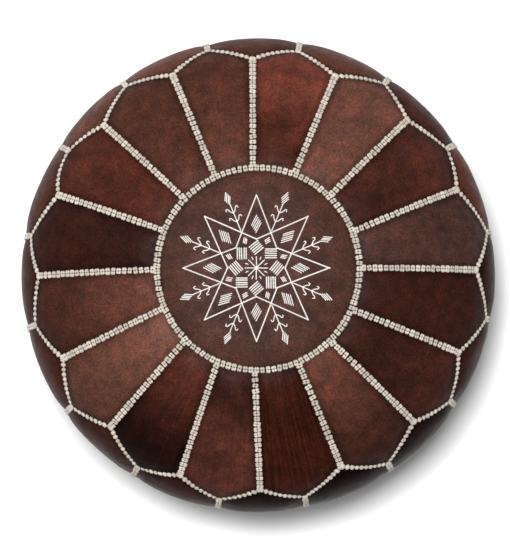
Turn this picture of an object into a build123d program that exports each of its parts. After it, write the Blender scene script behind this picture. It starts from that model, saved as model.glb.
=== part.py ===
"""A round leather floor pouf: a stuffed bag of sixteen petals, sixteen side panels and a medallion,
laced together with plaited thread, closed under the base by a metal zip.

Millimetres, +Z up. The origin is on the floor under the middle of the base. Angles run
anticlockwise from +X, seen from above.
"""
from build123d import *
from math import asin, atan2, cos, degrees, hypot, radians, sin
import os

# ---- driving dimensions -------------------------------------------------------------------------
overall_diameter = 530      # over the lacing of the side seams
overall_height = 330        # floor to the thread at the crown
leather = 1.5               # thickness of the hide
seam_gap = 0.25             # left between two panels that meet at a seam
lift = 0.15                 # how far the thread stands off the hide
panels = 16                 # petals round the top, and side panels under them

medallion_radius = 110.5    # to the middle of the lacing round it
valley_radius = 237         # where two petals and a side panel meet
tip_radius = 254            # the point of a petal
crown_slope = 7             # slope of the hide at the medallion's edge, degrees below level
valley_slope = 43           # slope where two petals part
tip_slope = 66              # slope at the point of a petal
tuck_slope = 120            # where the side turns under into the corner of the base
base_seam_slope = 150       # where the side panels are sewn to the base
corner_radius = 40          # of that corner

lacing_width = 7.0          # plaited thread of the ring, the radial seams and the side seams
scallop_width = 5.0         # plaited thread along the edges of the petals
lacing_height = 2.0
thread = 1.5                # one embroidery thread
thread_height = 0.8

# The panels are cut and sewn by hand. Each list says how far a seam strays from its even place.
seam_in_stray = (0.5, -1, 0.5, 1.5, 3, 2.5, 1.5, 0.5, 0.5, 0, -0.5, -1, -2, 0.5, 0, -1)      # degrees
seam_out_stray = (0.5, 0, 0.5, 1, 1.5, 1, 1.5, 1.5, 1, 1.5, 1.5, 1.5, 0.5, 0.5, 1, 0.5)      # degrees
tip_stray = (-1, -0.5, 0, 1, 1.5, 1.5, 1, 2, 2, 2, 2, 1.5, 0.5, 0.5, 0, 0)                   # degrees
valley_reach = (3, 0, -2, -5, -2, 0, -2, -1, 5, -2, -1, 3, 3, -4, 1, 1)                      # mm outwards
tip_reach = (4, -4, -2, -5, -1, 0, -5, 1, -1, 0, -1, 0, -1, 1, 1, 4)                         # mm outwards

# Embroidery of the medallion: an eight-pointed star of crossing lines, filled with satin stitch.
star_points = 8
star_tip = 82.4             # radius of the star's points
star_vertex = 31.8          # radius where its lines turn back
diamond_place, diamond_length, diamond_width = 48, 20.8, 11.6      # in each point of the star
square_place, square_side, square_turn = 22.4, 10.8, 45             # round the middle
bud_place, bud_length, bud_width = 32, 6.7, 5                       # between the squares
spoke_from, spoke_length = 1.5, 10.5
dash_from, dash_length = 9.5, 2.8
stem_from, stem_to = 45.5, 74                                       # sprigs between the points
leaf_places, leaf_length, leaf_spread = (50, 62), 8.5, 48
flower_place, flower_length, flower_width, flower_turn = 83.5, 13, 7, 25

# Base and zip. The middle of the base is drawn up, so that the zip stays clear of the floor.
recess = 10                 # height of the middle of the base
recess_radius = 138
rise_run = 30               # over which the base comes down to the floor
zip_tooth_span = 232        # from the first tooth to the last
tooth_pitch = 4
tooth_thick, tooth_length, tooth_height = 1.8, 4.0, 3.2
tooth_inner = 0.5           # from the middle of the chain to the teeth: the slider's web runs there
tape_length, tape_width, tape_thick = 262, 16, 0.8
window_width, window_length = 14, 248       # the opening in the base that shows the chain
stop_thick, stop_corner = 2, 0.8
patch_length, patch_width, patch_thick, patch_corner = 14, 24, 1.1, 3.5
patch_from = 122            # from the middle of the base to a patch
slider_length, slider_width, slider_height = 20, 12, 6.4
slider_corner, slider_edge = 3, 0.8         # rounding seen from below, and round the underside
slider_channel_width, slider_channel_height, slider_slot = 9.6, 3.8, 1.6
slider_web, slider_web_length = 0.6, 5
slider_rest = 106           # the slider's middle when the zip is closed
bail_length, bail_width, bail_leg, bail_inside, bail_corner = 7, 2, 1.5, 2.2, 1.2
pull_length, pull_width, pull_thick = 28, 8, 1.6
pull_window = 7             # from the hinge to the solid part of the pull
pull_play = 1.2             # sideways, between the pull and the bail
pull_corner, pull_hole = 2, 1.6
pull_tilt = 14              # the pull hangs until its end is on the floor

# Inside: a muslin bag, packed with filling.
bag_depth = 2.0             # from the outer face of the hide to the bag
bag_thick = 1.0
bag_floor = 17.5            # the bag's underside over the zip
bag_foot, bag_step = 174, 148       # radii between which it comes down to the base
filling_clearance = 0.4

# ---- the cover's outline: tangent arcs from the crown down to the floor ---------------------------
hide_radius = overall_diameter / 2 - lift - lacing_height
crown_height = overall_height - lift - thread_height


def arc_radius(run, from_slope, to_slope):
    """The radius of an arc that goes this far outwards while its slope changes."""
    return run / (sin(radians(to_slope)) - sin(radians(from_slope)))


def outline_arcs():
    """Each arc's centre, radius and first and last slope, from the crown to the floor."""
    upper = ((medallion_radius, 0, crown_slope), (valley_radius, crown_slope, valley_slope),
             (tip_radius, valley_slope, tip_slope), (hide_radius, tip_slope, 90))
    arcs = []
    out, height = 0, crown_height
    for end, first, last in upper:
        radius = arc_radius(end - out, first, last)
        centre = (out - radius * sin(radians(first)), height - radius * cos(radians(first)))
        arcs.append((centre, radius, first, last))
        out = end
        height = centre[1] + radius * cos(radians(last))
    turn = -cos(radians(tuck_slope))
    side_radius = (height - corner_radius * (1 - turn)) / turn
    arcs.append(((out - side_radius, height), side_radius, 90, tuck_slope))
    out -= side_radius * (1 - sin(radians(tuck_slope)))
    corner = (out - corner_radius * sin(radians(tuck_slope)), corner_radius)
    arcs.append((corner, corner_radius, tuck_slope, 180))
    return arcs


arcs = outline_arcs()
contact_outer = arcs[-1][0][0]                  # the base is flat on the floor inside this radius
contact_inner = recess_radius + rise_run
base_seam_radius = contact_outer + corner_radius * sin(radians(base_seam_slope))


def on_outline(arc, slope, depth):
    (across, up), radius = arc[:2]
    reach = radius - depth
    return (across + reach * sin(radians(slope)), up + reach * cos(radians(slope)))


def slope_at(out):
    """The outline's slope where it passes this radius, above the widest level."""
    for (across, up), radius, first, last in arcs[:4]:
        if out <= across + radius * sin(radians(last)):
            return degrees(asin((out - across) / radius))


def skin_point(angle, out, depth=0):
    """A point of the cover above its widest level, at this angle and this outer radius."""
    slope = slope_at(out)
    arc = next(a for a in arcs if a[2] <= slope <= a[3])
    across, up = on_outline(arc, slope, depth)
    return Vector(across * cos(radians(angle)), across * sin(radians(angle)), up)


def skin_normal(angle, out):
    slope = radians(slope_at(out))
    return Vector(sin(slope) * cos(radians(angle)), sin(slope) * sin(radians(angle)), cos(slope))


def skin_line(first_slope, last_slope, depth):
    """Draws the outline between two slopes, this far under the outer face, and gives its ends."""
    ends = []
    for arc in arcs:
        first = max(first_slope, arc[2])
        last = min(last_slope, arc[3])
        if first < last:
            stops = [on_outline(arc, slope, depth) for slope in (first, (first + last) / 2, last)]
            ThreePointArc(*stops)
            ends += [stops[0], stops[2]]
    return ends[0], ends[-1]


def layer_outline(first_slope, last_slope, outer_depth, inner_depth):
    """Draws the closed section of a layer of the cover."""
    top, bottom = skin_line(first_slope, last_slope, outer_depth)
    inner_top, inner_bottom = skin_line(first_slope, last_slope, inner_depth)
    Line(bottom, inner_bottom)
    Line(top, inner_top)


def upright(angle):
    """The plane through the axis that faces along the circle, its X pointing out at this angle."""
    turn = radians(angle)
    return Plane(origin=(0, 0, 0), x_dir=(cos(turn), sin(turn), 0), z_dir=(sin(turn), -cos(turn), 0))


def facing(point, along, normal, towards):
    """The plane through a point that holds two directions, its front on the side of a third point."""
    across = along.cross(normal).normalized()
    if across.dot(towards - point) < 0:
        across = -across
    return Plane(origin=point, z_dir=across)


# ---- where the seams run ------------------------------------------------------------------------
pitch = 360 / panels
seam_in = [pitch * k + stray for k, stray in enumerate(seam_in_stray)]
seam_out = [pitch * k + stray for k, stray in enumerate(seam_out_stray)]
tip_angle = [pitch * (k + 0.5) + stray for k, stray in enumerate(tip_stray)]
valley_at = [valley_radius + reach for reach in valley_reach]
tip_at = [tip_radius + reach for reach in tip_reach]
up_axis = Vector(0, 0, 1)
crown = Vector(0, 0, crown_height)


def valley(k):
    return skin_point(seam_out[k % panels], valley_at[k % panels])


def tip(k):
    return skin_point(tip_angle[k % panels], tip_at[k % panels])


def seam_plane(k, towards):
    """The upright plane of the seam between two petals, its front towards a point."""
    inner = skin_point(seam_in[k % panels], medallion_radius)
    return facing(inner, valley(k) - inner, up_axis, towards)


def side_plane(k, towards):
    """The upright plane of the seam under a petal's point, its front towards a point."""
    return facing(Vector(0, 0, 0), tip(k) - crown, up_axis, towards)


def scallop_plane(valley_index, tip_index, towards):
    """The plane of one edge of a petal, square to the hide, its front towards a point."""
    low, high = valley(valley_index), tip(tip_index)
    normal = (skin_normal(seam_out[valley_index % panels], valley_at[valley_index % panels])
              + skin_normal(tip_angle[tip_index % panels], tip_at[tip_index % panels]))
    return facing(low, high - low, normal, towards)


def save(part, name):
    part.label = name
    export_step(part, f"parts/{name}.step")


os.makedirs("parts", exist_ok=True)
half_gap = seam_gap / 2
strip_gap = 0.3             # between two strips of lacing that meet
before_valleys = 38         # a slope inside every valley
beyond_valleys = 51         # and one past every valley
before_tips = 60            # a slope inside every petal's point
beyond_tips = 78            # and one past every point
low_on_side = 95            # a slope below the widest level
scallop_slack = 3           # the lacing of a scallop starts this slope further in
ring_half = lacing_width / 2
ring_turn = degrees(ring_half / arcs[0][1])     # slope that half the ring of lacing takes up

# ---- leather --------------------------------------------------------------------------------------
with BuildPart() as centre_medallion:
    with BuildSketch(Plane.XZ):
        with BuildLine():
            layer_outline(0, crown_slope, 0, leather)
        make_face()
    revolve(axis=Axis.Z)
save(centre_medallion.part, "centre_medallion")

petal_top_slope = crown_slope + degrees(seam_gap / arcs[1][1])
for k in range(panels):
    start = seam_in[k] - pitch / 2
    middle = skin_point(pitch * (k + 0.5), (medallion_radius + valley_radius) / 2)
    with BuildPart() as petal:
        with BuildSketch(upright(start)):
            with BuildLine():
                layer_outline(petal_top_slope, beyond_tips, 0, leather)
            make_face()
        revolve(axis=Axis.Z, revolution_arc=2 * pitch)
        for edge in (seam_plane(k, middle), seam_plane(k + 1, middle),
                     scallop_plane(k, k, middle), scallop_plane(k + 1, k, middle)):
            split(bisect_by=edge.offset(half_gap), keep=Keep.TOP)
    save(petal.part, f"petal_{k + 1:02d}")

for k in range(panels):
    start = seam_out[k] - pitch
    low = on_outline(arcs[4], low_on_side, 0)
    middle = Vector(low[0] * cos(radians(seam_out[k])), low[0] * sin(radians(seam_out[k])), low[1])
    with BuildPart() as side_panel:
        with BuildSketch(upright(start)):
            with BuildLine():
                layer_outline(before_valleys, base_seam_slope, 0, leather)
            make_face()
        revolve(axis=Axis.Z, revolution_arc=2 * pitch)
        for edge in (side_plane(k - 1, middle), side_plane(k, middle),
                     scallop_plane(k, k - 1, middle), scallop_plane(k, k, middle)):
            split(bisect_by=edge.offset(half_gap), keep=Keep.TOP)
    save(side_panel.part, f"side_panel_{k + 1:02d}")

# ---- base ------------------------------------------------------------------------------------------
rise_angle = 2 * degrees(atan2(recess, rise_run))
rise_radius = rise_run / (2 * sin(radians(rise_angle)))
base_top_slope = base_seam_slope + degrees(seam_gap / corner_radius)
for name, side in (("base_half_front", -1), ("base_half_back", 1)):
    with BuildPart() as base_half:
        with BuildSketch(Plane.XZ):
            with BuildLine():
                for depth in (0, leather):
                    outer_end, foot = skin_line(base_top_slope, 180, depth)
                    flat = Line(foot, (contact_inner, depth))
                    first_rise = JernArc(flat @ 1, (-1, 0), rise_radius - depth, -rise_angle)
                    second_rise = JernArc(first_rise @ 1, first_rise % 1, rise_radius + depth, rise_angle)
                    Line(second_rise @ 1, (0, recess + depth))
                Line((0, recess), (0, recess + leather))
                Line(on_outline(arcs[-1], base_top_slope, 0), on_outline(arcs[-1], base_top_slope, leather))
            make_face()
        revolve(axis=Axis.Z)
        split(bisect_by=Plane(origin=(0, side * half_gap, 0), z_dir=(0, side, 0)), keep=Keep.TOP)
        with BuildSketch(Plane.XY):
            SlotOverall(window_length, window_width)
        extrude(amount=recess + 2 * leather, mode=Mode.SUBTRACT)
    save(base_half.part, name)

# ---- lacing ----------------------------------------------------------------------------------------
thread_top = -(lift + lacing_height)

with BuildPart() as medallion_braid:
    with BuildSketch(Plane.XZ):
        with BuildLine():
            layer_outline(crown_slope - ring_turn, crown_slope + degrees(ring_half / arcs[1][1]),
                          thread_top, -lift)
        make_face()
    revolve(axis=Axis.Z)
save(medallion_braid.part, "medallion_braid")


def lacing_strip(angle, spread, slopes, planes):
    """One strip of lacing: a sector of the thread layer, trimmed to the front of each plane."""
    with BuildPart() as strip:
        with BuildSketch(upright(angle - spread)):
            with BuildLine():
                layer_outline(slopes[0], slopes[1], thread_top, -lift)
            make_face()
        revolve(axis=Axis.Z, revolution_arc=2 * spread)
        for plane in planes:
            split(bisect_by=plane, keep=Keep.TOP)
    return strip.part


def two_sides(plane, half_width):
    """Two planes a strip's width apart, facing each other."""
    near = plane.offset(-half_width)
    far = plane.offset(half_width)
    return [near, Plane(origin=far.origin, z_dir=-far.z_dir)]


scallop_half = scallop_width / 2
ring_edge_slope = crown_slope + degrees((ring_half + strip_gap) / arcs[1][1])
with BuildPart() as petal_braids:
    for k in range(panels):
        middle = skin_point(seam_out[k] + pitch, valley_radius)
        seam = seam_plane(k, middle)
        left = scallop_plane(k, k - 1, crown).offset(scallop_half + strip_gap)
        right = scallop_plane(k, k, crown).offset(scallop_half + strip_gap)
        add(lacing_strip(seam_in[k], pitch / 2, (ring_edge_slope, beyond_valleys),
                         two_sides(seam, ring_half) + [left, right]))
save(petal_braids.part, "petal_braids")

with BuildPart() as scallop_braid:
    for k in range(panels):
        for valley_index in (k, k + 1):
            edge = scallop_plane(valley_index, k, crown)
            middle = (valley(valley_index) + tip(k)) * 0.5
            ends = [seam_plane(valley_index, middle).offset(strip_gap / 2),
                    side_plane(k, middle).offset(strip_gap / 2)]
            add(lacing_strip(tip_angle[k], pitch, (before_valleys - scallop_slack, beyond_tips),
                             two_sides(edge, scallop_half) + ends))
save(scallop_braid.part, "scallop_braid")

with BuildPart() as side_braids:
    for k in range(panels):
        seam = side_plane(k, skin_point(tip_angle[k] + pitch, valley_radius))
        floor_point = Vector(0, 0, 0)
        left = scallop_plane(k, k, floor_point).offset(scallop_half + strip_gap)
        right = scallop_plane(k + 1, k, floor_point).offset(scallop_half + strip_gap)
        add(lacing_strip(tip_angle[k], pitch / 4, (before_tips, base_seam_slope),
                         two_sides(seam, ring_half) + [left, right]))
save(side_braids.part, "side_braids")


# ---- embroidery of the medallion --------------------------------------------------------------------
def polar(radius, angle):
    return (radius * cos(radians(angle)), radius * sin(radians(angle)))


def stroke(start, end):
    """Draws one straight thread between two points, in the sketch that is open."""
    across, up = end[0] - start[0], end[1] - start[1]
    middle = ((start[0] + end[0]) / 2, (start[1] + end[1]) / 2)
    with Locations(Location(middle, degrees(atan2(up, across)))):
        SlotOverall(hypot(across, up) + thread, thread)


def diamond(place, angle, length, width):
    """Draws a diamond with its long way at this angle, in the sketch that is open."""
    with Locations(Location(place, angle)):
        Polygon((-length / 2, 0), (0, -width / 2), (length / 2, 0), (0, width / 2))


with BuildPart() as dome_layer:
    with BuildSketch(Plane.XZ):
        with BuildLine():
            layer_outline(0, crown_slope, -(lift + thread_height), -lift)
        make_face()
    revolve(axis=Axis.Z)


def save_embroidery(motif, name):
    """Lays a flat motif on the dome as a layer of thread."""
    with BuildPart() as laid:
        add(motif)
        extrude(amount=overall_height)
        add(dome_layer.part, mode=Mode.INTERSECT)
    save(laid.part, name)


star_turn = 360 / star_points
point_angles = [star_turn * k for k in range(star_points)]
between_angles = [star_turn * (k + 0.5) for k in range(star_points)]

with BuildSketch() as star_outline:
    for angle in point_angles:
        for side in (-1, 1):
            stroke(polar(star_tip, angle), polar(star_vertex, angle + side * star_turn))
save_embroidery(star_outline.sketch, "star_outline")

with BuildSketch() as star_diamonds:
    for angle in point_angles:
        diamond(polar(diamond_place, angle), angle, diamond_length, diamond_width)
save_embroidery(star_diamonds.sketch, "star_diamonds")

with BuildSketch() as inner_squares:
    for angle in point_angles:
        with Locations(Location(polar(square_place, angle), angle + square_turn)):
            Rectangle(square_side, square_side)
save_embroidery(inner_squares.sketch, "inner_squares")

with BuildSketch() as small_diamonds:
    for angle in between_angles:
        diamond(polar(bud_place, angle), angle, bud_length, bud_width)
save_embroidery(small_diamonds.sketch, "small_diamonds")

with BuildSketch() as centre_spokes:
    for angle in point_angles:
        stroke(polar(spoke_from, angle), polar(spoke_from + spoke_length, angle))
    for angle in between_angles:
        stroke(polar(dash_from, angle), polar(dash_from + dash_length, angle))
save_embroidery(centre_spokes.sketch, "centre_spokes")

with BuildSketch() as sprigs:
    for angle in between_angles:
        stroke(polar(stem_from, angle), polar(stem_to, angle))
        for place in leaf_places:
            root = Vector(*polar(place, angle))
            for side in (-1, 1):
                end = root + Vector(*polar(leaf_length, angle + side * leaf_spread))
                stroke((root.X, root.Y), (end.X, end.Y))
save_embroidery(sprigs.sketch, "sprigs")

with BuildSketch() as sprig_diamonds:
    for angle in between_angles:
        diamond(polar(flower_place, angle), angle + flower_turn, flower_length, flower_width)
save_embroidery(sprig_diamonds.sketch, "sprig_diamonds")


# ---- insert ---------------------------------------------------------------------------------------
def bag_outline(depth):
    """Draws half the section of the stuffed bag, this far inside the outer face of the hide."""
    floor = bag_floor + depth - bag_depth
    top, foot = skin_line(0, 180, depth)
    Polyline(foot, (bag_foot, depth), (bag_step, floor), (0, floor), top)


with BuildPart() as insert_bag:
    for depth, mode in ((bag_depth, Mode.ADD), (bag_depth + bag_thick, Mode.SUBTRACT)):
        with BuildSketch(Plane.XZ):
            with BuildLine():
                bag_outline(depth)
            make_face()
        revolve(axis=Axis.Z, mode=mode)
save(insert_bag.part, "insert_bag")

with BuildPart() as insert_filling:
    with BuildSketch(Plane.XZ):
        with BuildLine():
            bag_outline(bag_depth + bag_thick + filling_clearance)
        make_face()
    revolve(axis=Axis.Z)
save(insert_filling.part, "insert_filling")

# ---- zip ------------------------------------------------------------------------------------------
tape_low = recess + leather + lift
chain_height = tape_low + tape_thick / 2
tooth_outer = tooth_inner + tooth_length
tooth_count = int(zip_tooth_span / tooth_pitch)
stop_place = zip_tooth_span / 2 + stop_thick

for name, side in (("front", -1), ("back", 1)):
    with BuildPart() as zip_tape:
        with Locations((0, side * (tooth_outer + tape_width / 2), chain_height)):
            Box(tape_length, tape_width, tape_thick)
    save(zip_tape.part, f"zip_tape_{name}")

    with BuildPart() as zip_teeth:
        with Locations((side * tooth_pitch / 4, side * (tooth_inner + tooth_length / 2), chain_height)):
            with GridLocations(tooth_pitch, 1, tooth_count, 1):
                Box(tooth_thick, tooth_length, tooth_height)
    save(zip_teeth.part, f"zip_teeth_{name}")

with BuildPart() as zip_top_stops:
    with Locations((stop_place, 0, chain_height)):
        with GridLocations(1, 2 * tooth_inner + tooth_length, 1, 2):
            Box(stop_thick, tooth_length, tooth_height)
save(zip_top_stops.part, "zip_top_stops")

with BuildPart() as zip_bottom_stop:
    with Locations((-stop_place, 0, chain_height)):
        Box(stop_thick, 2 * tooth_outer, tooth_height)
    fillet(zip_bottom_stop.edges().filter_by(Axis.X), radius=stop_corner)
save(zip_bottom_stop.part, "zip_bottom_stop")

with BuildPart() as zip_end_patches:
    with BuildSketch(Plane.XY.offset(recess - lift - patch_thick)):
        with GridLocations(2 * patch_from + patch_length, 1, 2, 1):
            RectangleRounded(patch_length, patch_width, patch_corner)
    extrude(amount=patch_thick)
save(zip_end_patches.part, "zip_end_patches")

with BuildPart() as zip_slider:
    with Locations((slider_rest, 0, chain_height)):
        Box(slider_length, slider_width, slider_height)
    fillet(zip_slider.edges().filter_by(Axis.Z), radius=slider_corner)
    fillet(zip_slider.faces().sort_by(Axis.Z)[0].edges(), radius=slider_edge)
    with Locations((slider_rest, 0, chain_height)):
        Box(slider_length, slider_channel_width, slider_channel_height, mode=Mode.SUBTRACT)
        Box(slider_length, slider_width, slider_slot, mode=Mode.SUBTRACT)
    with Locations((slider_rest + (slider_length - slider_web_length) / 2, 0, chain_height)):
        Box(slider_web_length, slider_web, slider_channel_height)
    # The bail: a small arch under the slider that the pull hangs in.
    wing_low = chain_height - slider_height / 2
    bail_side = Plane(origin=(slider_rest, bail_width / 2, wing_low), x_dir=(1, 0, 0), z_dir=(0, -1, 0))
    with BuildSketch(bail_side):
        with Locations((0, -(bail_inside + bail_leg) / 2)):
            RectangleRounded(bail_length, bail_inside + bail_leg, bail_corner)
        with Locations((0, -bail_leg / 4)):
            Rectangle(bail_length, bail_leg / 2)
        with Locations((0, -bail_inside / 2)):
            Rectangle(bail_length - 2 * bail_leg, bail_inside, mode=Mode.SUBTRACT)
    extrude(amount=bail_width)
save(zip_slider.part, "zip_slider")

hinge_height = wing_low - bail_inside / 2
# The pull hangs from a round bar in the bail; it is drawn along its own X, away from the hinge.
lie = radians(pull_tilt)
pull_plane = Plane(origin=(slider_rest, 0, hinge_height), x_dir=(-cos(lie), 0, -sin(lie)),
                   z_dir=(sin(lie), 0, -cos(lie)))
with BuildPart() as zip_pull:
    with BuildSketch(pull_plane.offset(-pull_thick / 2)):
        with Locations((pull_length / 2, 0)):
            RectangleRounded(pull_length, pull_width, pull_corner)
        with Locations((pull_window / 2 - pull_thick / 2, 0)):
            Rectangle(pull_window + pull_thick, bail_width + pull_play, mode=Mode.SUBTRACT)
        with Locations((pull_length - pull_width / 2, 0)):
            Circle(pull_hole, mode=Mode.SUBTRACT)
    extrude(amount=pull_thick)
    with BuildSketch(Plane(origin=(slider_rest, pull_width / 2, hinge_height), z_dir=(0, -1, 0))):
        Circle(pull_thick / 2)
    extrude(amount=pull_width)
save(zip_pull.part, "zip_pull")

print("base seam at", round(base_seam_radius, 1), "flat on the floor from", contact_inner, "to",
      round(contact_outer, 1))
print("hinge of the pull at", slider_rest, 0, round(hinge_height, 3))
print("end of the pull at", round(hinge_height - pull_length * sin(lie) - pull_thick / 2 * cos(lie), 3))
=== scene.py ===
import math

import bpy
import numpy as np
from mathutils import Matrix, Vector, noise


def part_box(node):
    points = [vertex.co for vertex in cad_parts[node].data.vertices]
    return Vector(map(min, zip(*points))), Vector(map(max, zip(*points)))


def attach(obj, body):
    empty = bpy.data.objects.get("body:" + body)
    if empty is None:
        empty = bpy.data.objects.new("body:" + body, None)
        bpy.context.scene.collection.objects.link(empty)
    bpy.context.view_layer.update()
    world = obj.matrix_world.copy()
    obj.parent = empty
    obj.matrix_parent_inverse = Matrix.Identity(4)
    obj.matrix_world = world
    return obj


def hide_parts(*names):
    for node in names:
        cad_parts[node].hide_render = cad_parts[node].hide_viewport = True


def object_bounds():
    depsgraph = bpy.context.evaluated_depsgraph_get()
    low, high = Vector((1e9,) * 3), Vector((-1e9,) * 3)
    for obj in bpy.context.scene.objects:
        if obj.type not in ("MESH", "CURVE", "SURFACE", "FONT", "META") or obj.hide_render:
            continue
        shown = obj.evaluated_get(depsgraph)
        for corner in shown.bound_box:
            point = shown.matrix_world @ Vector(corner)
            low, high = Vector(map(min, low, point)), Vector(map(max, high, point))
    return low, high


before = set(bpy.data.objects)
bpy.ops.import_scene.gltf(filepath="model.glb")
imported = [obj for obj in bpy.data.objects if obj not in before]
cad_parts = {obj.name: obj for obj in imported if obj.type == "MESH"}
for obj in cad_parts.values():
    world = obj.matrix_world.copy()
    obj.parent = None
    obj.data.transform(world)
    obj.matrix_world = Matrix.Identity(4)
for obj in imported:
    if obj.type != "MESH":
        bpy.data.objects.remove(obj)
cad_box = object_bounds()

bl_info = {
    "name": "Moroccan Leather Pouf",
    "version": (1, 0, 0),
    "blender": (4, 5, 0),
    "location": "View3D > Sidebar > Pouf",
    "description": "Builds a stuffed pouf of laced leather petals round an embroidered medallion",
    "category": "Add Mesh",
}

MM = 0.001
COVER = "cover"             # the CAD body that everything but the slider and its pull belongs to

# ---- the cover's outline and seams, in millimetres and degrees, as the CAD model has them ------------
PANELS = 16
PITCH = 360 / PANELS
OVERALL_DIAMETER, OVERALL_HEIGHT = 530, 330
LACING_PAST_SIDE, LACING_PAST_TOP = 2.15, 0.95      # how far the lacing stands out past the hide
HIDE_RADIUS = OVERALL_DIAMETER / 2 - LACING_PAST_SIDE
CROWN_HEIGHT = OVERALL_HEIGHT - LACING_PAST_TOP
MEDALLION_RADIUS, VALLEY_RADIUS, TIP_RADIUS = 110.5, 237, 254
CROWN_SLOPE, VALLEY_SLOPE, TIP_SLOPE = 7, 43, 66
TUCK_SLOPE, BASE_SEAM_SLOPE = 120, 150
CORNER_RADIUS = 40
RECESS, RECESS_RADIUS, RISE_RUN = 10, 138, 30
WINDOW_WIDTH, WINDOW_LENGTH = 14, 248
LEATHER = 1.5

SEAM_IN_STRAY = (0.5, -1, 0.5, 1.5, 3, 2.5, 1.5, 0.5, 0.5, 0, -0.5, -1, -2, 0.5, 0, -1)
SEAM_OUT_STRAY = (0.5, 0, 0.5, 1, 1.5, 1, 1.5, 1.5, 1, 1.5, 1.5, 1.5, 0.5, 0.5, 1, 0.5)
TIP_STRAY = (-1, -0.5, 0, 1, 1.5, 1.5, 1, 2, 2, 2, 2, 1.5, 0.5, 0.5, 0, 0)
VALLEY_REACH = (3, 0, -2, -5, -2, 0, -2, -1, 5, -2, -1, 3, 3, -4, 1, 1)
TIP_REACH = (4, -4, -2, -5, -1, 0, -5, 1, -1, 0, -1, 0, -1, 1, 1, 4)
# how far each edge of each petal bows out, its first and its second edge in turn
SCALLOP_BOW = (2.3, 2.3, 2.3, 0.8, 1.3, 2.3, 1.5, 3, 2, 3, 2.3, 2.3, 2.3, 5, 1.5, 2.3, 2, 2.5, 2.3, 2,
               2.3, 2.3, 2.6, 2, 2.3, 2, 3, 1, 2.3, 2.6, 2.3, 2)

seam_in = [PITCH * k + stray for k, stray in enumerate(SEAM_IN_STRAY)]
seam_out = [PITCH * k + stray for k, stray in enumerate(SEAM_OUT_STRAY)]
tip_angle = [PITCH * (k + 0.5) + stray for k, stray in enumerate(TIP_STRAY)]
valley_at = [VALLEY_RADIUS + reach for reach in VALLEY_REACH]
tip_at = [TIP_RADIUS + reach for reach in TIP_REACH]


class Outline:
    """The cover's half outline as tangent arcs, sampled finely, from the crown to the floor."""

    def __init__(self):
        out, height, rows, run = 0.0, CROWN_HEIGHT, [], 0.0
        upper = ((MEDALLION_RADIUS, 0, CROWN_SLOPE), (VALLEY_RADIUS, CROWN_SLOPE, VALLEY_SLOPE),
                 (TIP_RADIUS, VALLEY_SLOPE, TIP_SLOPE), (HIDE_RADIUS, TIP_SLOPE, 90))
        for end, first, last in upper:
            radius = (end - out) / (sind(last) - sind(first))
            centre = (out - radius * sind(first), height - radius * cosd(first))
            run = self.sample(rows, centre, radius, first, last, run)
            out, height = end, centre[1] + radius * cosd(last)
        self.widest_run = run
        turn = -cosd(TUCK_SLOPE)
        side = (height - CORNER_RADIUS * (1 - turn)) / turn
        run = self.sample(rows, (out - side, height), side, 90, TUCK_SLOPE, run)
        out -= side * (1 - sind(TUCK_SLOPE))
        centre = (out - CORNER_RADIUS * sind(TUCK_SLOPE), CORNER_RADIUS)
        self.base_seam_run = run + CORNER_RADIUS * math.radians(BASE_SEAM_SLOPE - TUCK_SLOPE)
        self.sample(rows, centre, CORNER_RADIUS, TUCK_SLOPE, 180, run)
        self.contact_radius = centre[0]
        self.run, self.radius, self.height, self.slope = np.array(rows).T
        self.upper = self.run <= self.widest_run

    @staticmethod
    def sample(rows, centre, radius, first, last, run):
        steps = 120
        for i in range(steps if rows else steps + 1):
            share = (i + 1) / steps if rows else i / steps
            slope = first + (last - first) * share
            rows.append((run + radius * math.radians(slope - first), centre[0] + radius * sind(slope),
                         centre[1] + radius * cosd(slope), slope))
            if share >= 1:
                break
        return run + radius * math.radians(last - first)

    def run_at(self, radius):
        """Length along the outline from the crown to this radius, above the widest level."""
        return np.interp(radius, self.radius[self.upper], self.run[self.upper])

    def points(self, angle, run, lift=0.0):
        """Points of the cover, in metres, this far outside its face, and the face's normals there."""
        angle = np.radians(np.asarray(angle, float))
        slope = np.radians(np.interp(run, self.run, self.slope))
        radius = np.interp(run, self.run, self.radius) + lift * np.sin(slope)
        height = np.interp(run, self.run, self.height) + lift * np.cos(slope)
        where = np.stack([radius * np.cos(angle), radius * np.sin(angle), height], -1) * MM
        normal = np.stack([np.sin(slope) * np.cos(angle), np.sin(slope) * np.sin(angle), np.cos(slope)], -1)
        return where, normal


def sind(angle):
    return math.sin(math.radians(angle))


def cosd(angle):
    return math.cos(math.radians(angle))


outline = Outline()


def plan(radius, angle):
    angle = np.radians(angle)
    return np.stack([radius * np.cos(angle), radius * np.sin(angle)], -1)


def from_plan(flat):
    """Angle and length along the outline of points seen from above."""
    radius = np.hypot(flat[..., 0], flat[..., 1])
    return np.degrees(np.arctan2(flat[..., 1], flat[..., 0])), outline.run_at(radius)


def at(values, k):
    """A seam's value, counted round the circle."""
    turns, k = divmod(k, PANELS)
    return values[k] + 360 * turns if values in (seam_in, seam_out, tip_angle) else values[k]


def scallop(valley_index, tip_index, share):
    """Angle and radius along one edge of a petal, from the valley (0) to the rounded tip (1)."""
    share = np.asarray(share, float)
    low, high = at(seam_out, valley_index), at(tip_angle, tip_index)
    near = plan(at(valley_at, valley_index), low)
    far = plan(at(tip_at, tip_index), high)
    flat = near + (far - near) * share[..., None]
    bow = SCALLOP_BOW[2 * (tip_index % PANELS) + valley_index - tip_index]
    radius = np.hypot(flat[..., 0], flat[..., 1]) + 4 * bow * share * (1 - share)
    angle = np.degrees(np.arctan2(flat[..., 1], flat[..., 0]))
    return angle + 360 * np.round(((low + high) / 2 - angle) / 360), radius


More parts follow.
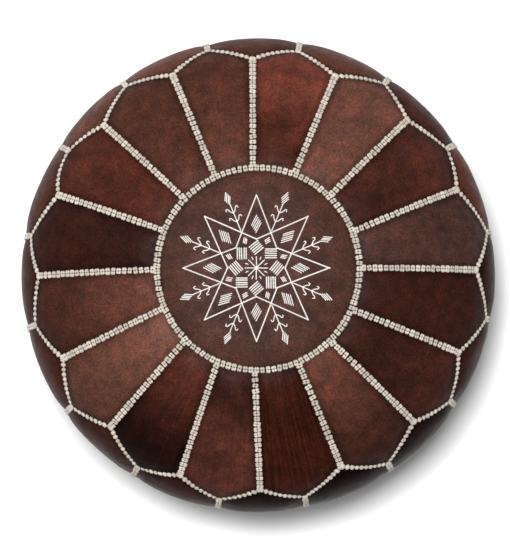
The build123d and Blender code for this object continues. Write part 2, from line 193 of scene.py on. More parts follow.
def seam_line(k, share):
    """Angle and length along the outline of the seam between two petals, from the ring outwards."""
    inner = plan(MEDALLION_RADIUS, at(seam_in, k))
    outer = plan(at(valley_at, k), at(seam_out, k))
    return from_plan(inner + (outer - inner) * np.asarray(share, float)[..., None])


def rounded(share):
    """Rises from 0 and levels off at 1."""
    left = 1 - np.clip(share, 0, 1)
    return 1 - left ** 2.4


def ripple(where, scale, seed):
    """Smooth noise between about -1 and 1 at each point; the scale is the size of one swell, in metres."""
    offset = Vector((seed * 7.3, seed * 3.1, seed * 5.7))
    flat = where.reshape(-1, 3) / scale
    return np.array([noise.noise(Vector(p) + offset) for p in flat]).reshape(where.shape[:-1]) * 1.6


# ---- meshes ------------------------------------------------------------------------------------------
def new_object(name, mesh):
    piece = bpy.data.objects.new(name, mesh)
    bpy.context.scene.collection.objects.link(piece)
    return piece


def new_mesh(name, points, faces=(), edges=(), smooth=True, **marks):
    """An object with a mesh of these points, and each mark stored on its vertices."""
    mesh = bpy.data.meshes.new(name)
    mesh.from_pydata(points, edges, faces)
    for mark, values in marks.items():
        values = np.asarray(values, np.float32)
        kind, key = ("FLOAT_VECTOR", "vector") if values.ndim > 1 else ("FLOAT", "value")
        mesh.attributes.new(mark, kind, "POINT").data.foreach_set(key, values.ravel())
    if smooth:
        mesh.shade_smooth()
    return new_object(name, mesh)


def shell(name, outer, normal, thickness, marks):
    """A closed sheet of hide over a grid of points, with the named marks on its vertices."""
    rows, columns = outer.shape[:2]
    count = rows * columns
    points = np.concatenate([outer.reshape(-1, 3), (outer - normal * thickness).reshape(-1, 3)])
    index = np.arange(count).reshape(rows, columns)
    face = np.stack([index[:-1, :-1], index[1:, :-1], index[1:, 1:], index[:-1, 1:]], -1).reshape(-1, 4)
    first = points[face[0]]
    if np.dot(np.cross(first[1] - first[0], first[2] - first[0]), normal.reshape(-1, 3)[0]) < 0:
        face = face[:, ::-1]
    border = np.concatenate([index[0, :-1], index[:-1, -1], index[-1, :0:-1], index[:0:-1, 0]])
    after = np.roll(border, -1)
    rim = np.stack([border, after, after + count, border + count], -1)
    steps = set(map(tuple, np.stack([face, np.roll(face, -1, 1)], -1).reshape(-1, 2).tolist()))
    if (int(border[0]), int(after[0])) in steps:
        rim = rim[:, ::-1]
    faces = np.concatenate([face, face[:, ::-1] + count, rim])
    both_faces = {mark: np.tile(np.ravel(values), 2) for mark, values in marks.items()}
    return new_mesh(name, points.tolist(), faces.tolist(), **both_faces)


def path_mesh(name, lines):
    """Loose chains of edges for a node tree to follow: each line's points, normals and fullness."""
    points, edges, ups, full = [], [], [], []
    for where, up, fullness in lines:
        start = len(points)
        points += where.tolist()
        ups += up.tolist()
        full += list(np.broadcast_to(fullness, len(where)))
        edges += [(start + i, start + i + 1) for i in range(len(where) - 1)]
    return new_mesh(name, points, edges=edges, smooth=False, up=ups, full=full)


# ---- node helpers ------------------------------------------------------------------------------------
class Tree:
    """Adds and joins nodes in one tree."""

    def __init__(self, tree):
        self.tree = tree

    def add(self, kind, settings=None, **inputs):
        node = self.tree.nodes.new(kind)
        for key, value in (settings or {}).items():
            setattr(node, key, value)
        for key, value in inputs.items():
            self.feed(node, int(key[1:]) if key[1:].isdigit() else key.replace("_", " "), value)
        return node

    def feed(self, node, socket, value):
        if isinstance(value, bpy.types.NodeSocket):
            self.tree.links.new(value, node.inputs[socket])
        else:
            node.inputs[socket].default_value = value

    def maths(self, operation, first, second=0.0):
        node = self.add("ShaderNodeMath", {"operation": operation})
        self.feed(node, 0, first)
        self.feed(node, 1, second)
        return node.outputs[0]

    def times(self, first, second):
        return self.maths("MULTIPLY", first, second)

    def mix(self, factor, first, second, blend="MIX"):
        node = self.add("ShaderNodeMix", {"data_type": "RGBA", "blend_type": blend})
        self.feed(node, 0, factor)
        self.feed(node, 6, first)
        self.feed(node, 7, second)
        return node.outputs[2]

    def range(self, value, low, high, to_low=0.0, to_high=1.0):
        node = self.add("ShaderNodeMapRange", {"interpolation_type": "SMOOTHSTEP"})
        for socket, number in enumerate((value, low, high, to_low, to_high)):
            self.feed(node, socket, number)
        return node.outputs[0]

    def grey(self, level):
        return self.add("ShaderNodeCombineColor", _0=level, _1=level, _2=level).outputs[0]

    def place(self):
        return self.add("ShaderNodeTexCoord").outputs["Object"]

    def mark(self, name):
        """A value stored on the piece's vertices."""
        return self.add("ShaderNodeAttribute", {"attribute_name": name}).outputs["Fac"]

    def grain(self, where, scale, detail, roughness=0.5, kind="FBM"):
        """Noise at this many swells to the metre."""
        return self.add("ShaderNodeTexNoise", {"noise_type": kind}, Vector=where, Scale=scale,
                        Detail=detail, Roughness=roughness).outputs["Fac"]

    def random(self, low, high, seed, **more):
        return self.add("FunctionNodeRandomValue", _2=low, _3=high, Seed=seed, **more).outputs[1]

    def store(self, geometry, domain, name, value):
        return self.add("GeometryNodeStoreNamedAttribute", {"data_type": "FLOAT", "domain": domain},
                        Geometry=geometry, Name=name, Value=value).outputs[0]

    def close(self, out, geometry, material):
        """Ends a geometry tree in real mesh with its material."""
        real = self.add("GeometryNodeRealizeInstances", Geometry=geometry).outputs[0]
        self.feed(out, 0, self.add("GeometryNodeSetMaterial", Geometry=real, Material=material).outputs[0])


def group(name, inputs, outputs, kind="ShaderNodeTree"):
    """A node group with named sockets, and its helper, input node and output node."""
    tree = bpy.data.node_groups.new(name, kind)
    for socket, form, default in inputs:
        made = tree.interface.new_socket(socket, in_out="INPUT", socket_type="NodeSocket" + form)
        if default is not None:
            made.default_value = default
    for socket, form in outputs:
        tree.interface.new_socket(socket, in_out="OUTPUT", socket_type="NodeSocket" + form)
    nodes = Tree(tree)
    return nodes, nodes.add("NodeGroupInput").outputs, nodes.add("NodeGroupOutput")


def dye(red, green, blue):
    """A colour given as it looks on a screen, 0 to 255, as linear light."""
    def linear(v):
        v /= 255
        return v / 12.92 if v <= 0.04045 else ((v + 0.055) / 1.055) ** 2.4
    return (linear(red), linear(green), linear(blue), 1.0)


def shaded(colour, share):
    """A colour made darker (below 0) or lighter (above 0)."""
    return tuple(c * (1 + share) for c in colour[:3]) + (1.0,)


# ---- materials ---------------------------------------------------------------------------------------
HIDES = {                   # the dyes of the cut pieces
    "umber": dye(49, 25, 20),
    "bistre": dye(46, 19, 12),
    "ash": dye(66, 44, 39),
    "russet": dye(70, 36, 28),
    "chestnut": dye(80, 48, 39),
    "fawn": dye(94, 61, 51),
}
PETAL_HIDES = (             # dye, and how much lighter the hide is at the ring and at the tip
    ("ash", -0.15, -0.15), ("umber", 0.0, 0.6), ("fawn", -0.25, -0.05), ("russet", -0.25, 0.9),
    ("chestnut", -0.1, -0.3), ("chestnut", -0.25, -0.35), ("russet", -0.1, -0.15), ("umber", -0.3, -0.25),
    ("chestnut", 0.15, -0.5), ("fawn", 0.05, -0.35), ("russet", -0.05, -0.85), ("umber", -0.1, 1.1),
    ("bistre", 0.1, 0.05), ("chestnut", 0.1, -0.6), ("umber", -0.15, 0.15), ("umber", 0.05, -0.1),
)
SIDE_HIDES_AND_LIGHT = (              # dye, and how much lighter the hide is: partly each panel's own tone, partly painted light, lighter with painted sheen on the upper-left panels that face the key light and darker with painted shade on the lower-right ones
    ("bistre", -0.3), ("russet", 0.1), ("umber", 0.45), ("chestnut", 0.0), ("chestnut", -0.2),
    ("chestnut", 0.2), ("fawn", -0.2), ("chestnut", -0.3), ("russet", -0.35), ("russet", -0.35),
    ("umber", 0.2), ("bistre", -0.15), ("bistre", -0.75), ("bistre", -0.85), ("bistre", -0.7),
    ("bistre", -0.1),
)
STREAKS = {11: 0.4, 12: 0.3, 13: 1.1}      # petals cut along the spine, with streaks that run outwards
PLAIN_STREAK, FAINT_STREAK = 0.12, 0.1      # the other petals, and the rest of the hides


def hide_group():
    """Waxed hide: cloudy dye, streaks, fine speckle, painted shade and soiling along the seams, pebbled
    grain.
    """
    t, given, out = group("waxed_hide", (
        ("Inner", "Color", None), ("Outer", "Color", None), ("Cloud", "Float", 0.8),
        ("Streak", "Float", 0.2), ("Seed", "Float", 0.0)),
        (("Color", "Color"), ("Roughness", "Float"), ("Height", "Float")))
    reach, seam, across = (t.mark(name) for name in ("reach", "seam", "across"))
    shift = t.add("ShaderNodeVectorMath", {"operation": "SCALE"}, _0=(1.7, 2.3, 3.1), Scale=given["Seed"])
    here = t.add("ShaderNodeVectorMath", {"operation": "ADD"}, _0=t.place(), _1=shift.outputs[0]).outputs[0]
    cloud = t.grain(here, 18, 4, 0.6)
    patch = t.grain(here, 60, 6, 0.7)
    speck = t.grain(here, 520, 4, 0.75)
    crease = t.grain(here, 60, 3, kind="RIDGED_MULTIFRACTAL")
    pebble = t.add("ShaderNodeTexVoronoi", {"feature": "SMOOTH_F1"}, Vector=here, Scale=620,
                   Randomness=1.0).outputs["Distance"]
    lane = t.add("ShaderNodeCombineXYZ", X=t.times(across, 26), Y=t.times(reach, 1.6),
                 Z=given["Seed"]).outputs[0]
    streak = t.grain(lane, 1, 4, 0.7)
    drift = t.maths("ADD", reach, t.times(t.maths("SUBTRACT", cloud, 0.5), 0.9))
    base = t.mix(t.range(drift, 0.1, 0.9), given["Inner"], given["Outer"])
    warm = t.mix(1.0, base, (1.2, 0.96, 0.87, 1), "MULTIPLY")
    base = t.mix(t.range(patch, 0.4, 0.75), base, warm)
    lined = t.times(t.maths("SUBTRACT", streak, 0.5), t.times(given["Streak"], 4))
    light = t.range(patch, 0.3, 0.7, 0.7, 1.3)
    for shade in (t.range(cloud, 0.3, 0.7, 0.8, 1.2), t.range(speck, 0.3, 0.7, 0.5, 1.5),
                  t.maths("ADD", lined, 1.0)):
        light = t.times(light, shade)
    light = t.maths("ADD", t.times(t.maths("SUBTRACT", light, 1.0), given["Cloud"]), 1.0)
    # painted shade and soiling beside the lacing: a broad darker band along each seam, and a narrow dark
    # line of painted shadow right at it
    for seam_shade_and_soil in (t.range(seam, 0.0, 0.4, 0.4, 1.0), t.range(seam, 0.0, 0.16, 0.5, 1.0)):
        light = t.times(light, seam_shade_and_soil)
    t.feed(out, "Color", t.mix(1.0, base, t.grey(light), "MULTIPLY"))
    t.feed(out, "Roughness", t.range(patch, 0.3, 0.75, 0.48, 0.34))
    height = t.maths("ADD", t.times(pebble, 0.35), t.times(speck, 0.3))
    t.feed(out, "Height", t.maths("SUBTRACT", height, t.times(crease, 0.25)))
    return t.tree


def thread_group():
    """Cotton thread: each stitch its own tone, strands side by side, painted shade low down and in the
    grooves between them, soiled in worn patches.
    """
    t, given, out = group("cotton_thread", (
        ("Thread", "Color", None), ("Grime", "Color", None), ("Strands", "Float", 0.0)),
        (("Color", "Color"), ("Height", "Float")))
    tint, crest, strand = (t.mark(name) for name in ("tint", "crest", "strand"))
    place = t.place()
    fuzz = t.grain(place, 1600, 2, 0.7)
    worn = t.grain(place, 260, 2)
    wave = t.maths("SINE", t.times(strand, given["Strands"]))
    rounded_strand = t.maths("POWER", t.maths("ABSOLUTE", wave), 0.5)
    # painted shade low down on each stitch, from its crest mark, with soiled worn patches on top
    lit_and_unsoiled = t.times(t.range(crest, 0.0, 0.75, 0.1, 1.0), t.range(worn, 0.3, 0.6, 0.8, 1.0))
    lit_and_unsoiled = t.times(lit_and_unsoiled, t.range(tint, 0.0, 1.0, 0.72, 1.0))
    # painted shade in the grooves between the strands
    combed = t.times(lit_and_unsoiled, t.range(rounded_strand, 0.0, 0.8, 0.3, 1.0))
    grooved = t.maths("GREATER_THAN", given["Strands"], 0.0)
    pick = t.add("ShaderNodeMix", {"data_type": "FLOAT"}, _0=grooved, _2=lit_and_unsoiled, _3=combed).outputs[0]
    t.feed(out, "Color", t.mix(pick, given["Grime"], given["Thread"]))
    t.feed(out, "Height", t.maths("ADD", t.times(fuzz, 0.35), rounded_strand))
    return t.tree


def weave_group():
    """Plain woven cloth with its warp along X and weft along Y."""
    t, given, out = group("plain_weave", (
        ("Warp", "Color", None), ("Weft", "Color", None), ("Threads", "Float", 1200.0)),
        (("Color", "Color"), ("Height", "Float")))
    place = t.place()
    waves = [t.add("ShaderNodeTexWave", {"wave_type": "BANDS", "bands_direction": way}, Vector=place,
                   Scale=given["Threads"], Distortion=0.6).outputs["Fac"] for way in ("X", "Y")]
    cloth = t.mix(t.maths("GREATER_THAN", *waves), given["Warp"], given["Weft"])
    faded = t.grey(t.range(t.grain(place, 90, 4), 0.3, 0.7, 0.8, 1.15))
    t.feed(out, "Color", t.mix(1.0, cloth, faded, "MULTIPLY"))
    t.feed(out, "Height", t.maths("MAXIMUM", *waves))
    return t.tree


def brass_group():
    """Dull brass: tarnished in patches, finely rubbed."""
    t, _, out = group("dull_brass", (), (
        ("Color", "Color"), ("Roughness", "Float"), ("Height", "Float")))
    place = t.place()
    haze = t.grain(place, 260, 4)
    t.feed(out, "Color", t.mix(t.range(haze, 0.35, 0.7), dye(176, 142, 84), dye(112, 84, 48)))
    t.feed(out, "Roughness", t.range(haze, 0.3, 0.7, 0.28, 0.5))
    t.feed(out, "Height", t.grain(place, 1500, 2))
    return t.tree


made = {}                   # the node groups so far, by the function that makes each


def once(make):
    """The node group from one of the functions here, made at its first use."""
    if make not in made:
        made[make] = make()
    return made[make]


def new_finish(name, make, bump, sockets, **values):
    """A new material: one effect group, its strength and depth of bump, and the shader's own sockets."""
    material = bpy.data.materials.new(name)
    material.use_nodes = True
    t = Tree(material.node_tree)
    shader = material.node_tree.nodes["Principled BSDF"]
    effect = t.add("ShaderNodeGroup")
    effect.node_tree = once(make)
    for key, value in values.items():
        effect.inputs[key].default_value = value
    t.feed(shader, "Base Color", effect.outputs["Color"])
    if "Roughness" in effect.outputs:
        t.feed(shader, "Roughness", effect.outputs["Roughness"])
    for key, value in sockets.items():
        shader.inputs[key].default_value = value
    strength, depth = bump
    node = t.add("ShaderNodeBump", Strength=strength, Distance=depth, Height=effect.outputs["Height"])
    t.feed(shader, "Normal", node.outputs[0])
    return material


def hide_finish(name, inner, outer, seed, streak=FAINT_STREAK):
    return new_finish(name, hide_group, (0.35, 0.7 * MM), {"Specular IOR Level": 0.025},
                  Inner=inner, Outer=outer, Seed=seed, Streak=streak)


def thread_finish(name, colour, thread_shade_and_soil, strands):
    soft = {"Roughness": 0.75, "Specular IOR Level": 0.25, "Sheen Weight": 0.15}
    return new_finish(name, thread_group, (0.4, 0.3 * MM), soft,
                      Thread=colour, Grime=thread_shade_and_soil, Strands=strands)


def cloth_finish(name, warp, weft, threads):
    return new_finish(name, weave_group, (0.5, 0.2 * MM), {"Roughness": 0.85},
                  Warp=warp, Weft=weft, Threads=threads)


def brass_finish(name):
    return new_finish(name, brass_group, (0.15, 0.2 * MM), {"Metallic": 1.0})


# ---- geometry node trees -----------------------------------------------------------------------------
def lacing_tree():
    """Sets plaited stitches along chains of edges, each turned to the seam and to the face."""
    g, given, out = group("lacing", (
        ("Geometry", "Geometry", None), ("Stitch", "Object", None), ("Stitch Pitch", "Float", 0.006),
        ("Unevenness", "Float", 0.12), ("Seed", "Int", 1),
        ("Thread", "Material", None)), (("Geometry", "Geometry"),), "GeometryNodeTree")
    curve = g.add("GeometryNodeMeshToCurve", Mesh=given["Geometry"]).outputs[0]
    even = g.add("GeometryNodeResampleCurve", {"mode": "LENGTH"}, Curve=curve, Length=given["Stitch Pitch"])
    up = g.add("GeometryNodeInputNamedAttribute", {"data_type": "FLOAT_VECTOR"}, Name="up").outputs[0]
    full = g.add("GeometryNodeInputNamedAttribute", {"data_type": "FLOAT"}, Name="full").outputs[0]
    along = g.add("GeometryNodeInputTangent").outputs[0]
    turn = g.add("FunctionNodeAxesToRotation", {"primary_axis": "Z", "secondary_axis": "X"},
                 Primary_Axis=up, Secondary_Axis=along).outputs[0]
    low = g.maths("SUBTRACT", 1.0, given["Unevenness"])
    high = g.maths("ADD", 1.0, given["Unevenness"])
    size, other = (g.random(low, high, seed) for seed in (given["Seed"], g.maths("ADD", given["Seed"], 7)))
    skew = g.random(g.times(given["Unevenness"], -2), g.times(given["Unevenness"], 2),
                    g.maths("ADD", given["Seed"], 3))
    jog = g.add("ShaderNodeCombineXYZ", Z=skew).outputs[0]
    by = g.add("FunctionNodeEulerToRotation", Euler=jog).outputs[0]
    turned = g.add("FunctionNodeRotateRotation", {"rotation_space": "LOCAL"}, Rotation=turn,
                   Rotate_By=by).outputs[0]
    scale = g.add("ShaderNodeCombineXYZ", X=size, Y=g.times(other, full), Z=g.times(size, full)).outputs[0]
    stitch = g.add("GeometryNodeObjectInfo", Object=given["Stitch"]).outputs["Geometry"]
    set_out = g.add("GeometryNodeInstanceOnPoints", Points=even.outputs[0], Instance=stitch,
                    Rotation=turned, Scale=scale).outputs[0]
    tint = g.random(0.0, 1.0, g.maths("ADD", given["Seed"], 11))
    g.close(out, g.store(set_out, "INSTANCE", "tint", tint), given["Thread"])
    return g.tree


def thread_tree():
    """Turns chains of edges into two-ply thread, its plies laid round each other."""
    g, given, out = group("two_ply_thread", (
        ("Geometry", "Geometry", None), ("Ply Radius", "Float", 0.0004), ("Lay", "Float", 0.003),
        ("Step", "Float", 0.0006), ("Seed", "Int", 1), ("Thread", "Material", None)),
        (("Geometry", "Geometry"),), "GeometryNodeTree")
    curve = g.add("GeometryNodeMeshToCurve", Mesh=given["Geometry"]).outputs[0]
    even = g.add("GeometryNodeResampleCurve", {"mode": "LENGTH"}, Curve=curve, Length=given["Step"])
    run = g.add("GeometryNodeSplineParameter").outputs["Length"]
    tilt = g.maths("DIVIDE", g.times(run, 2 * math.pi), given["Lay"])
    laid = g.add("GeometryNodeSetCurveTilt", Curve=even.outputs[0], Tilt=tilt).outputs[0]
    tint = g.random(0.0, 1.0, given["Seed"], ID=g.add("GeometryNodeInputIndex").outputs[0])
    # the embroidery's crest mark is full height everywhere, so it gets none of the painted shade low down
    tinted = g.store(g.store(laid, "CURVE", "tint", tint), "POINT", "crest", 1.0)
    ply = g.add("GeometryNodeCurvePrimitiveCircle", Resolution=5, Radius=given["Ply Radius"]).outputs[0]
    plies = g.add("GeometryNodeJoinGeometry")
    for way in (-0.9, 0.9):
        aside = g.add("ShaderNodeCombineXYZ", X=g.times(given["Ply Radius"], way)).outputs[0]
        moved = g.add("GeometryNodeTransform", Geometry=ply, Translation=aside).outputs[0]
        g.feed(plies, 0, moved)
    tube = g.add("GeometryNodeCurveToMesh", Curve=tinted, Profile_Curve=plies.outputs[0], Fill_Caps=True)
    smooth = g.add("GeometryNodeSetShadeSmooth", Geometry=tube.outputs[0]).outputs[0]
    g.close(out, smooth, given["Thread"])
    return g.tree


def tooth_tree():
    """Sets one tooth at each step of a straight run."""
    g, given, out = group("tooth_row", (
        ("Geometry", "Geometry", None), ("Tooth", "Object", None), ("Count", "Int", 58),
        ("Tooth Pitch", "Float", 0.004), ("Start", "Vector", None), ("Metal", "Material", None)),
        (("Geometry", "Geometry"),), "GeometryNodeTree")
    reach = g.add("ShaderNodeCombineXYZ", X=given["Tooth Pitch"]).outputs[0]
    line = g.add("GeometryNodeMeshLine", Count=given["Count"], Start_Location=given["Start"], Offset=reach)
    tooth = g.add("GeometryNodeObjectInfo", Object=given["Tooth"]).outputs["Geometry"]
    row = g.add("GeometryNodeInstanceOnPoints", Points=line.outputs[0], Instance=tooth).outputs[0]
    g.close(out, row, given["Metal"])
    return g.tree


def grown(source, make, name, values):
    """Runs a node tree on an object and keeps the result as a plain mesh object."""
    modifier = source.modifiers.new("grow", "NODES")
    modifier.node_group = once(make)
    sockets = {s.name: s.identifier for s in modifier.node_group.interface.items_tree
               if s.item_type == "SOCKET" and s.in_out == "INPUT"}
    for key, value in values.items():
        modifier[sockets[key]] = value
    bpy.context.view_layer.update()
    graph = bpy.context.evaluated_depsgraph_get()
    mesh = bpy.data.meshes.new_from_object(source.evaluated_get(graph), depsgraph=graph)
    if not mesh.polygons:
        raise RuntimeError(f"{name} came out empty")
    source.modifiers.remove(modifier)
    bpy.data.objects.remove(source)
    mesh.name = name
    return new_object(name, mesh)


def paint(piece, material):
    piece.data.materials.clear()
    piece.data.materials.append(material)


def fit(piece, node_names, material=None):
    """Rides a finished piece on the cover in place of its CAD nodes."""
    if material is not None:
        paint(piece, material)
    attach(piece, COVER)
    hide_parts(*node_names)


# ---- sizes and colours a user may change -------------------------------------------------------------
class PoufHide(bpy.types.PropertyGroup):
    thickness: bpy.props.FloatProperty(
        name="Thickness", description="Thickness of the hide", default=LEATHER * MM, unit="LENGTH")
    petal_swell: bpy.props.FloatProperty(
        name="Petal swell", description="How far a petal stands proud of its seams", default=3.2 * MM,
        unit="LENGTH")
    side_swell: bpy.props.FloatProperty(
        name="Side swell", description="How far a side panel stands proud of its seams", default=2.4 * MM,
        unit="LENGTH")
    pucker: bpy.props.FloatProperty(
        name="Pucker", description="Depth of the puckers that the lacing pulls", default=0.7 * MM,
        unit="LENGTH")
    medallion: bpy.props.FloatVectorProperty(
        name="Medallion", description="Dye of the medallion", subtype="COLOR", size=4,
        default=dye(61, 39, 33), min=0, max=1)
    base: bpy.props.FloatVectorProperty(
        name="Base", description="Dye of the base", subtype="COLOR", size=4, default=dye(70, 44, 37),
        min=0, max=1)


class PoufLacing(bpy.types.PropertyGroup):
    stitch_pitch: bpy.props.FloatProperty(
        name="Stitch pitch", description="From one plaited stitch to the next", default=6.2 * MM,
        unit="LENGTH")
    stitch_width: bpy.props.FloatProperty(
        name="Stitch width", description="Width of a plaited stitch", default=7.8 * MM, unit="LENGTH")
    stitch_length: bpy.props.FloatProperty(
        name="Stitch length", description="Length of a plaited stitch along the seam", default=5.9 * MM,
        unit="LENGTH")
    stitch_height: bpy.props.FloatProperty(
        name="Stitch height", description="Height of a plaited stitch", default=2.4 * MM, unit="LENGTH")
    pearl_width: bpy.props.FloatProperty(
        name="Edge stitch width", description="Width of a stitch along the edge of a petal",
        default=8.2 * MM, unit="LENGTH")
    pearl_pitch: bpy.props.FloatProperty(
        name="Edge stitch pitch", description="From one stitch to the next along the edge of a petal",
        default=5.4 * MM, unit="LENGTH")
    colour: bpy.props.FloatVectorProperty(
        name="Thread", description="Colour of the lacing", subtype="COLOR", size=4,
        default=dye(211, 202, 189), min=0, max=1)
    # the colour the lacing darkens to: painted shade low down and between the strands, and soiling in worn
    # patches
    thread_shade_and_soil: bpy.props.FloatVectorProperty(
        name="Grime", description="Colour between the strands", subtype="COLOR", size=4,
        default=dye(84, 66, 54), min=0, max=1)


class PoufEmbroidery(bpy.types.PropertyGroup):
    ply_radius: bpy.props.FloatProperty(
        name="Ply radius", description="Radius of one of the thread's two plies", default=0.5 * MM,
        unit="LENGTH")
    stray: bpy.props.FloatProperty(
        name="Stray", description="How far a stitch strays from its drawn place", default=0.12 * MM,
        unit="LENGTH")
    colour: bpy.props.FloatVectorProperty(
        name="Thread", description="Colour of the embroidery", subtype="COLOR", size=4,
        default=dye(247, 244, 239), min=0, max=1)


class PoufStage(bpy.types.PropertyGroup):
    elevation: bpy.props.FloatProperty(
        name="Elevation", description="Height of the camera above the horizon",
        default=math.radians(87), subtype="ANGLE")
    distance: bpy.props.FloatProperty(
        name="Distance", description="From the camera to the pouf", default=5.0, unit="LENGTH")
    view_height: bpy.props.FloatProperty(
        name="View height", description="Height of the view at the pouf", default=0.620, unit="LENGTH")
    key_power: bpy.props.FloatProperty(name="Key light", description="Power of the key light", default=440,
                                       unit="POWER")


# ---- leather -----------------------------------------------------------------------------------------
PETAL_ROOM = (43, 48, 150)      # the breadth a petal starts from and gains outwards, and its length
SIDE_ROOM = (100, 300)          # a side panel's breadth and length
SEAM_SINK = 0.5                 # how far the hide goes in under the lacing
SEAM_SHADE_AND_SOIL_REACH, RING_SHADE_AND_SOIL_REACH = 30, 24    # how far from a seam, and from the ring, the painted shade and soiling fade out


def halves(across, first, second):
    """Angle and radius from one edge on the first half of a panel, and from another on the second."""
    return np.where(across <= 0.5, first, second)


def petal_grid(k):
    """Angles, runs, distances to the side and end seams, and marks over one petal."""
    across, outwards = np.meshgrid(np.linspace(0, 1, 57), np.linspace(0, 1, 73) ** 0.85, indexing="ij")
    inner = plan(MEDALLION_RADIUS, at(seam_in, k) + (at(seam_in, k + 1) - at(seam_in, k)) * across)
    angle, radius = halves(across, scallop(k, k, np.clip(across * 2, 0, 1)),
                           scallop(k + 1, k, np.clip(2 - across * 2, 0, 1)))
    outer = plan(radius, angle)
    turned, run = from_plan(inner + (outer - inner) * outwards[..., None])
    breadth, gain, length = PETAL_ROOM
    side = np.minimum(across, 1 - across) * (breadth + gain * outwards)
    end = np.minimum(outwards, 1 - outwards) * length
    return turned, run, side, end, {"reach": outwards, "across": across}


def side_grid(k):
    """Angles, runs, distances to the side and end seams, and marks over one side panel."""
    across, down = np.meshgrid(np.linspace(0, 1, 57), np.linspace(0, 1, 89), indexing="ij")
    top_angle, radius = halves(across, scallop(k, k - 1, np.clip(1 - across * 2, 0, 1)),
                               scallop(k, k, np.clip(across * 2 - 1, 0, 1)))
    top_run = outline.run_at(radius)
    low_angle = at(tip_angle, k - 1) + (at(tip_angle, k) - at(tip_angle, k - 1)) * across
    turned = top_angle + (low_angle - top_angle) * down
    run = top_run + (outline.base_seam_run - top_run) * down
    breadth, length = SIDE_ROOM
    side = np.minimum(across, 1 - across) * breadth
    end = np.minimum(down * (outline.base_seam_run - top_run), (1 - down) * length)
    return turned, run, side, end, {"reach": down, "across": across}


def cut_panel(name, grid, swell, seed, inner, outer, streak):
    """Cuts one panel, swells it between its seams, puckers and ripples it, and dyes it."""
    hide = bpy.context.scene.pouf_hide
    turned, run, side, end, marks = grid
    nominal = outline.points(turned, run)[0]
    near = np.minimum(side, end)
    proud = swell / MM * rounded(side / 30) * rounded(end / 34) - SEAM_SINK
    pull = hide.pucker / MM * ripple(nominal, 0.011, seed) * np.exp(-near / 9) * rounded(near / 3)
    soft = 0.7 * ripple(nominal, 0.06, seed + 3) * rounded(near / 25)
    fine = 0.16 * ripple(nominal, 0.017, seed + 5) * rounded(near / 12)
    where, normal = outline.points(turned, run, proud + pull + soft + fine)
    # distance to the nearest seam: the hide darkens towards it with painted shade and soiling
    marks["seam"] = np.clip(near / SEAM_SHADE_AND_SOIL_REACH, 0, 1)
    piece = shell(name + "_hide", where, normal, hide.thickness, marks)
    fit(piece, [name], hide_finish(name, inner, outer, seed, streak))


class POUF_OT_petals(bpy.types.Operator):
    """Cut and stuff the sixteen petals"""
    bl_idname = "pouf.petals"
    bl_label = "Petals"

    def execute(self, context):
        for k, (dye_name, inner, outer) in enumerate(PETAL_HIDES):
            plain = HIDES[dye_name]
            cut_panel(f"petal_{k + 1:02d}", petal_grid(k), context.scene.pouf_hide.petal_swell, k + 1,
                      shaded(plain, inner), shaded(plain, outer), STREAKS.get(k + 1, PLAIN_STREAK))
        return {"FINISHED"}


class POUF_OT_side_panels(bpy.types.Operator):
    """Cut and stuff the sixteen side panels"""
    bl_idname = "pouf.side_panels"
    bl_label = "Side panels"

    def execute(self, context):
        for k, (dye_name, lighter) in enumerate(SIDE_HIDES_AND_LIGHT):
            # the lightness paints light and shade round the side as well as each panel's own tone
            colour = shaded(HIDES[dye_name], lighter)
            cut_panel(f"side_panel_{k + 1:02d}", side_grid(k), context.scene.pouf_hide.side_swell,
                      k + 31, colour, colour, FAINT_STREAK)
        return {"FINISHED"}


def medallion_surface(flat):
    """Height of the medallion's face over points seen from above, and its normals."""
    radius = np.hypot(flat[..., 0], flat[..., 1])
    angle = np.degrees(np.arctan2(flat[..., 1], flat[..., 0]))
    run = outline.run_at(np.minimum(radius, MEDALLION_RADIUS))
    nominal = outline.points(angle, run)[0]
    edge = MEDALLION_RADIUS - radius
    soft = 0.5 * ripple(nominal, 0.045, 71) + 0.14 * ripple(nominal, 0.012, 73)
    proud = 1.6 * rounded(edge / 45) - SEAM_SINK + soft * rounded(edge / 10)
    where, normal = outline.points(angle, run, proud)
    return where, normal, edge


class POUF_OT_medallion(bpy.types.Operator):
    """Cut and stuff the round medallion"""
    bl_idname = "pouf.medallion"
    bl_label = "Medallion"

    def execute(self, context):
        hide = context.scene.pouf_hide
        u, v = np.meshgrid(np.linspace(-1, 1, 129), np.linspace(-1, 1, 129), indexing="ij")
        flat = np.stack([u * np.sqrt(1 - v * v / 2), v * np.sqrt(1 - u * u / 2)], -1) * MEDALLION_RADIUS
        where, normal, edge = medallion_surface(flat)
        # distance to the ring: the medallion darkens towards it with painted shade and soiling
        marks = {"seam": np.clip(edge / RING_SHADE_AND_SOIL_REACH, 0, 1),
                 "reach": 1 - np.clip(edge / MEDALLION_RADIUS, 0, 1)}
        piece = shell("centre_medallion_hide", where, normal, hide.thickness, marks)
        material = hide_finish("medallion", tuple(hide.medallion), shaded(hide.medallion, 0.05), 90)
        fit(piece, ["centre_medallion"], material)
        return {"FINISHED"}


WINDOW_END = 0.12               # half the window's width where it ends in a point
HEM_DEPTH, HEM_WIDTH = 0.5, 7   # the turned hem along the window


def base_height(radius):
    """Height of the base's underside: flat on the floor in a ring, drawn up in the middle."""
    rise = np.clip((radius - RECESS_RADIUS) / RISE_RUN, 0, 1)
    lower = RECESS * (0.5 + 0.5 * np.cos(rise * math.pi))
    over = np.clip((radius - outline.contact_radius) / CORNER_RADIUS, 0, 1)
    return lower + CORNER_RADIUS * (1 - np.sqrt(1 - over ** 2))


